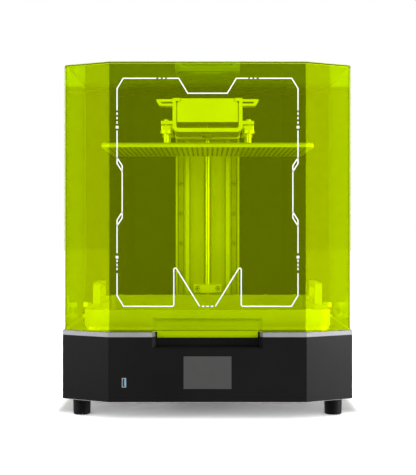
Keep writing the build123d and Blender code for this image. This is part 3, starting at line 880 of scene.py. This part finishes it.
def vatScrews(values):
    points = []
    for index in range(-3, 4):
        points.append((index * values["step"], values["frontY"], values["rim"]))
        points.append((index * values["step"], values["backY"], values["rearRim"]))
    for y in values["sideY"]:
        for side in (-1, 1):
            points.append((side * values["sideX"], y, values["rim"]))
    carrier = meshFrom("rimPoints", points)
    item = grow("vatScrews", carrier, capScrews, {
        "Radius": values["radius"] / 1000,
        "Height": values["height"] / 1000,
        "Socket": values["socket"] / 1000,
        "Finish": finishes["turnedSteel"],
        "Dark": finishes["recessShade"],
    })
    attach(item, "vat")


vatScrews(rimScrews)


# painted highlight under the base: a light grey band along its bottom edge; and painted shade in the
# data socket: a dark block in its hollow

rim = {"low": 31.0, "high": 31.7, "inset": 0.5, "width": 1.6}


def baseRim(values):
    outer = eightSides(values["inset"])
    inner = eightSides(values["inset"] + values["width"])
    verts = []
    for z in (values["low"], values["high"]):
        verts += [(x, y, z) for x, y in outer] + [(x, y, z) for x, y in inner]
    faces = []
    for i in range(8):
        j = (i + 1) % 8
        faces += [(i, j, j + 16, i + 16), (i + 8, i + 24, j + 24, j + 8)]
        faces += [(i, i + 8, j + 8, j), (i + 16, j + 16, j + 24, i + 24)]
    item = makeObject("baseRim", outward(meshFrom("baseRim", verts, faces)), ["rimHighlightGrey"])
    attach(item, "chassis")


baseRim(rim)


socketShadeBlock = {"x": (-136.2, -133.5), "y": (-198.6, -197.6), "z": (56.0, 69.4)}


# a dark block in the socket's hollow, painted shade
def usbInside(values):
    verts = [(x, y, z) for x in values["x"] for y in values["y"] for z in values["z"]]
    faces = [(0, 1, 3, 2), (4, 6, 7, 5), (0, 4, 5, 1), (2, 3, 7, 6), (0, 2, 6, 4), (1, 5, 7, 3)]
    item = makeObject("usbInside", outward(meshFrom("usbInside", verts, faces)), ["recessShade"])
    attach(item, "chassis")


usbInside(socketShadeBlock)
print("details ready")


# light, world and floor

lightSet = {
    "lowLevel": 1.45,  # room brightness near the horizon
    "highLevel": 1.1,  # and overhead
    "sideShare": 0.3,  # how much of that comes from the sides
    "throughHood": 0.015,  # how bright the empty room looks through the tinted panes
    "sideTurn": 59.5,  # degrees from straight ahead
    "sideDistance": 1.35,
    "sideWidth": 0.85,
    "sideHeight": 1.35,
    "leftLevel": 3.2,
    "rightLevel": 3.9,
    "keyLevel": 4.0,
    "baseRight": 80.0,  # these two light only the base's panels and feet
    "baseLeft": 18.0,
    "floorGlow": 0.05,
    "floorGain": 6.0,  # the pale floor is lit well past white
    "besideShadowGain": 1.7,  # but less so beside the printer, a painted shadow there
}


def seenThroughPane(tree):
    # 1 for a sight line that has passed a clear face on its way here
    path = add(tree, "ShaderNodeLightPath")
    passed = calc(tree, "GREATER_THAN", path.outputs["Transparent Depth"], 0.5)
    return path.outputs["Is Camera Ray"], calc(tree, "MULTIPLY", path.outputs["Is Camera Ray"], passed)


def buildWorld(values):
    world = bpy.data.worlds.new("studio")
    scene.world = world
    world.use_nodes = True
    tree = world.node_tree
    tree.nodes.clear()
    sight, through = seenThroughPane(tree)
    place = add(tree, "ShaderNodeTexCoord")
    parts = add(tree, "ShaderNodeSeparateXYZ")
    feed(tree, parts.inputs[0], place.outputs["Generated"])
    height = add(tree, "ShaderNodeMapRange")
    feed(tree, height.inputs["Value"], parts.outputs["Z"])
    height.inputs["From Min"].default_value = 0.2
    height.inputs["From Max"].default_value = 0.75
    height.inputs["To Min"].default_value = values["lowLevel"]
    height.inputs["To Max"].default_value = values["highLevel"]
    along = calc(tree, "POWER", calc(tree, "ABSOLUTE", parts.outputs["Y"]), 2.0)
    along = calc(tree, "MULTIPLY_ADD", along, 1.0 - values["sideShare"], values["sideShare"])
    level = calc(tree, "MULTIPLY", height.outputs["Result"], along)
    lamp = add(tree, "ShaderNodeBackground", Color=(1, 1, 1, 1))
    feed(tree, lamp.inputs["Strength"], level)
    white = add(tree, "ShaderNodeBackground", Color=(1, 1, 1, 1), Strength=1.0)
    dim = add(tree, "ShaderNodeBackground", Color=(1, 1, 1, 1), Strength=values["throughHood"])
    seen = mixShaders(tree, sight, lamp.outputs[0], white.outputs[0])
    output = add(tree, "ShaderNodeOutputWorld")
    feed(tree, output.inputs["Surface"], mixShaders(tree, through, seen, dim.outputs[0]))


def softBox(name, place, target, width, height, level):
    data = bpy.data.lights.new(name, "AREA")
    data.shape = "RECTANGLE"
    data.size = width
    data.size_y = height
    data.energy = level * 4.0 * width * height
    lamp = bpy.data.objects.new(name, data)
    lamp.location = place
    lamp.rotation_euler = (Vector(target) - Vector(place)).to_track_quat("-Z", "Y").to_euler()
    lamp.visible_camera = False
    scene.collection.objects.link(lamp)
    return lamp


def buildLights(values):
    turn = math.radians(values["sideTurn"])
    away = values["sideDistance"]
    chamferX, chamferY = 0.198, -0.18  # middle of the hood's front chamfer
    middle = values["sideHeight"] / 2 - 0.02
    for name, side, level in (("softLeft", -1, "leftLevel"), ("softRight", 1, "rightLevel")):
        place = (side * (chamferX + away * math.sin(turn)), chamferY - away * math.cos(turn), middle)
        target = (side * chamferX, chamferY, middle)
        softBox(name, place, target, values["sideWidth"], values["sideHeight"], values[level])
    softBox("keyRight", (2.3, -0.55, 0.75), (0.1, -0.1, 0.3), 0.8, 1.3, values["keyLevel"])
    baseOnly = bpy.data.collections.new("basePanels")
    for name in ("base_housing", "rubber_feet", "finger_cup"):
        baseOnly.objects.link(nodes[name])
    for name, side, level in (("baseRightLamp", 1, "baseRight"), ("baseLeftLamp", -1, "baseLeft")):
        place, target = (side * 2.3, -0.55, 0.3), (side * 0.2, -0.1, 0.1)
        lamp = softBox(name, place, target, 0.8, 0.6, values[level])
        lamp.light_linking.receiver_collection = baseOnly


def smoothStep(tree, source, start, end):
    node = add(tree, "ShaderNodeMapRange", interpolation_type="SMOOTHSTEP")
    feed(tree, node.inputs["Value"], source)
    node.inputs["From Min"].default_value = start
    node.inputs["From Max"].default_value = end
    return node.outputs["Result"]


def floorGain(tree, values):
    # how far past white the floor is lit, lowered beside the base to paint a soft shadow there
    place = add(tree, "ShaderNodeTexCoord")
    parts = add(tree, "ShaderNodeSeparateXYZ")
    feed(tree, parts.inputs[0], place.outputs["Object"])
    across = calc(tree, "ABSOLUTE", parts.outputs["X"])
    along = parts.outputs["Y"]
    # painted shadow: a patch beside the base where the floor's colour is raised less
    paintedShadow = smoothStep(tree, across, 0.17, 0.24)
    for source, start, end in ((across, 0.275, 0.245), (along, -0.17, -0.09), (along, 0.24, 0.1)):
        paintedShadow = calc(tree, "MULTIPLY", paintedShadow, smoothStep(tree, source, start, end))
    paintedShadow = calc(tree, "MULTIPLY", paintedShadow, values["besideShadowGain"] - values["floorGain"])
    return calc(tree, "ADD", paintedShadow, values["floorGain"])


def floorMaterial(values):
    # one look for lamps, one for a straight sight, one in mirrors and one through a pane
    material = bpy.data.materials.new("paleFloor")
    tree = startTree(material)
    sight, through = seenThroughPane(tree)
    paleness = 0.92
    pale = add(tree, "ShaderNodeBsdfDiffuse", Color=(paleness, paleness, paleness, 1))
    glow = add(tree, "ShaderNodeEmission", Color=(1, 1, 1, 1), Strength=values["floorGlow"])
    gain = calc(tree, "MULTIPLY", floorGain(tree, values), paleness)
    shade = add(tree, "ShaderNodeCombineXYZ", X=gain, Y=gain, Z=gain)
    lifted = add(tree, "ShaderNodeBsdfDiffuse", Color=shade.outputs[0])
    both = add(tree, "ShaderNodeAddShader")
    feed(tree, both.inputs[0], mixShaders(tree, sight, pale.outputs[0], lifted.outputs[0]))
    feed(tree, both.inputs[1], glow.outputs[0])
    mirrored = add(tree, "ShaderNodeEmission", Color=(1, 1, 1, 1), Strength=values["lowLevel"])
    path = add(tree, "ShaderNodeLightPath")
    spread = mixShaders(tree, path.outputs["Is Glossy Ray"], both.outputs[0], mirrored.outputs[0])
    dim = add(tree, "ShaderNodeEmission", Color=(1, 1, 1, 1), Strength=values["throughHood"])
    output = add(tree, "ShaderNodeOutputMaterial")
    feed(tree, output.inputs["Surface"], mixShaders(tree, through, spread, dim.outputs[0]))
    return material


def leaveUnlit(lamps, name, items):
    # these lamps light everything except the items
    skipped = bpy.data.collections.new(name)
    for item in items:
        skipped.objects.link(item)
    for entry in skipped.collection_objects:
        entry.light_linking.link_state = "EXCLUDE"
    for lamp in lamps:
        bpy.data.objects[lamp].light_linking.receiver_collection = skipped


def buildFloor(values):
    mesh = bpy.data.meshes.new("floor")
    half = 12.0
    corners = [(-half, -half, 0), (half, -half, 0), (half, half, 0), (-half, half, 0)]
    mesh.from_pydata(corners, [], [(0, 1, 2, 3)])
    mesh.materials.append(floorMaterial(values))
    floor = bpy.data.objects.new("floor", mesh)
    scene.collection.objects.link(floor)
    dull = [nodes[name] for name in ("vat_frame", "vat_handle_right", "vat_handle_left", "build_plate")]
    leaveUnlit(["keyRight"], "floorSkipped", [floor])
    leaveUnlit(["softLeft", "softRight"], "vatAndPlateSkipped", [floor] + dull)


buildWorld(lightSet)
buildLights(lightSet)
buildFloor(lightSet)
print("studio ready")
